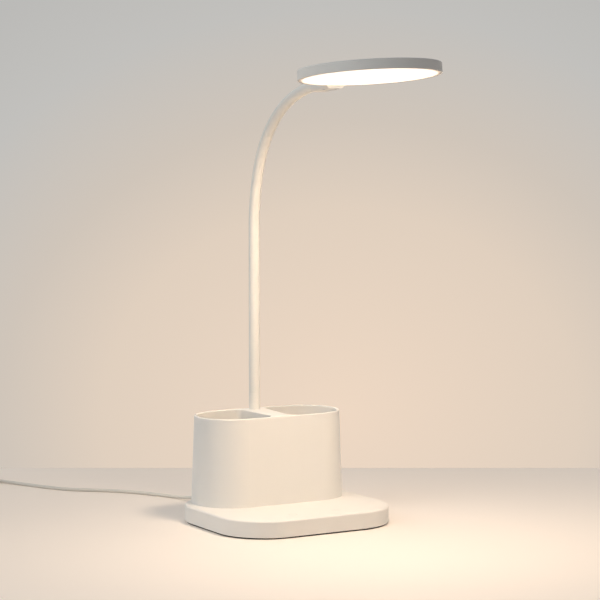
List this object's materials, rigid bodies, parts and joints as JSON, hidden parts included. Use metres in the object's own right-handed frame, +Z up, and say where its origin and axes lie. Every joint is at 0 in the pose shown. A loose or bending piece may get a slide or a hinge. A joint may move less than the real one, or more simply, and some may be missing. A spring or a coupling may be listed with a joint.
{
  "type": "desk lamp with pen holder base",
  "caption": "Desk lamp with a pen holder on its flat base, a gooseneck and a round flat LED head.",
  "frame": {"origin": "middle of the base's underside, on the table", "axes": "+Z up, -Y to the front, where the head reaches, +X to the right seen from the front"},
  "size_m": [0.2699, 0.5859, 0.3876],
  "materials": {
    "white_plastic": "matte",
    "black_pad": "matte",
    "steel": "brushed",
    "zinc_screws": "plated",
    "circuit_board": "solder mask",
    "spring_steel": "plated",
    "white_silicone": "satin",
    "ferrule_metal": "satin",
    "opal_diffuser": "opal",
    "clear_acrylic": "clear",
    "white_film": "gloss",
    "grey_foam": "open cell",
    "strip_board": "white solder mask",
    "led_package": "phosphor",
    "white_cord": "satin",
    "white_strap": "woven",
    "plug_metal": "plated",
    "black_insulator": "matte"
  },
  "bodies": {
    "base": {"anti_slip_pad": "black_pad", "base_bottom_cover": "white_plastic", "base_screws": "zinc_screws", "base_shell": "white_plastic", "board_screws": "zinc_screws", "control_board": "circuit_board", "cord_coil": "white_cord", "cord_lead": "white_cord", "cord_tie": "white_strap", "counterweight": "steel", "counterweight_screws": "zinc_screws", "holder_screws": "zinc_screws", "neck_foot": "steel", "neck_nut": "zinc_screws", "neck_washer": "zinc_screws", "pen_holder": "white_plastic", "strain_relief": "white_cord", "touch_springs": "spring_steel", "usb_plug_grip": "white_cord", "usb_plug_shell": "plug_metal", "usb_plug_tongue": "black_insulator", "neck_core_01": "steel", "neck_sleeve_01": "white_silicone"},
    "neck_link_1": {"neck_core_02": "steel", "neck_sleeve_02": "white_silicone"},
    "neck_link_2": {"neck_core_03": "steel", "neck_sleeve_03": "white_silicone"},
    "neck_link_3": {"neck_core_04": "steel", "neck_sleeve_04": "white_silicone"},
    "neck_link_4": {"neck_core_05": "steel", "neck_sleeve_05": "white_silicone"},
    "neck_link_5": {"neck_core_06": "steel", "neck_sleeve_06": "white_silicone"},
    "neck_link_6": {"neck_core_07": "steel", "neck_sleeve_07": "white_silicone"},
    "neck_link_7": {"neck_core_08": "steel", "neck_sleeve_08": "white_silicone"},
    "neck_link_8": {"neck_core_09": "steel", "neck_sleeve_09": "white_silicone"},
    "head": {"head_shell": "white_plastic", "tail_cover": "white_plastic", "tail_clamp": "steel", "tail_clamp_screws": "zinc_screws", "tail_cover_screws": "zinc_screws", "diffuser": "opal_diffuser", "light_guide": "clear_acrylic", "reflector_sheet": "white_film", "foam_pad": "grey_foam", "led_strip": "strip_board", "leds": "led_package", "neck_ferrule": "ferrule_metal", "neck_core_10": "steel", "neck_sleeve_10": "white_silicone"}
  },
  "joints": [
    {"name": "lower_bend", "type": "hinge", "parent": "base", "child": "neck_link_1", "pos_m": [0, 0.056, 0.104], "axis": [1, 0, 0], "range_deg": [-15, 15]},
    {"name": "lower_sway", "type": "hinge", "parent": "neck_link_1", "child": "neck_link_2", "pos_m": [0, 0.056, 0.142], "axis": [0, 1, 0], "range_deg": [-15, 15]},
    {"name": "lower_bend_follower", "type": "hinge", "parent": "neck_link_2", "child": "neck_link_3", "pos_m": [0, 0.056, 0.18], "axis": [1, 0, 0], "range_deg": [-15, 15]},
    {"name": "lower_sway_follower", "type": "hinge", "parent": "neck_link_3", "child": "neck_link_4", "pos_m": [0, 0.056, 0.218], "axis": [0, 1, 0], "range_deg": [-15, 15]},
    {"name": "upper_bend", "type": "hinge", "parent": "neck_link_4", "child": "neck_link_5", "pos_m": [0, 0.05571, 0.25599], "axis": [1, 0, 0], "range_deg": [-15, 15]},
    {"name": "upper_sway", "type": "hinge", "parent": "neck_link_5", "child": "neck_link_6", "pos_m": [0, 0.04894, 0.2933], "axis": [0, 0.9559, 0.2937], "range_deg": [-15, 15]},
    {"name": "upper_bend_follower_1", "type": "hinge", "parent": "neck_link_6", "child": "neck_link_7", "pos_m": [0, 0.03151, 0.32681], "axis": [1, 0, 0], "range_deg": [-15, 15]},
    {"name": "upper_sway_follower", "type": "hinge", "parent": "neck_link_7", "child": "neck_link_8", "pos_m": [0, 0.00289, 0.35146], "axis": [0, 0.498, 0.8672], "range_deg": [-15, 15]},
    {"name": "upper_bend_follower_2", "type": "hinge", "parent": "neck_link_8", "child": "head", "pos_m": [0, -0.03255, 0.36482], "axis": [1, 0, 0], "range_deg": [-15, 15]}
  ],
  "couplings": [
    {"joint": "lower_bend_follower", "follows": "lower_bend", "ratio": 1},
    {"joint": "lower_sway_follower", "follows": "lower_sway", "ratio": 1},
    {"joint": "upper_bend_follower_1", "follows": "upper_bend", "ratio": 1},
    {"joint": "upper_bend_follower_2", "follows": "upper_bend", "ratio": 1},
    {"joint": "upper_sway_follower", "follows": "upper_sway", "ratio": 1}
  ]
}
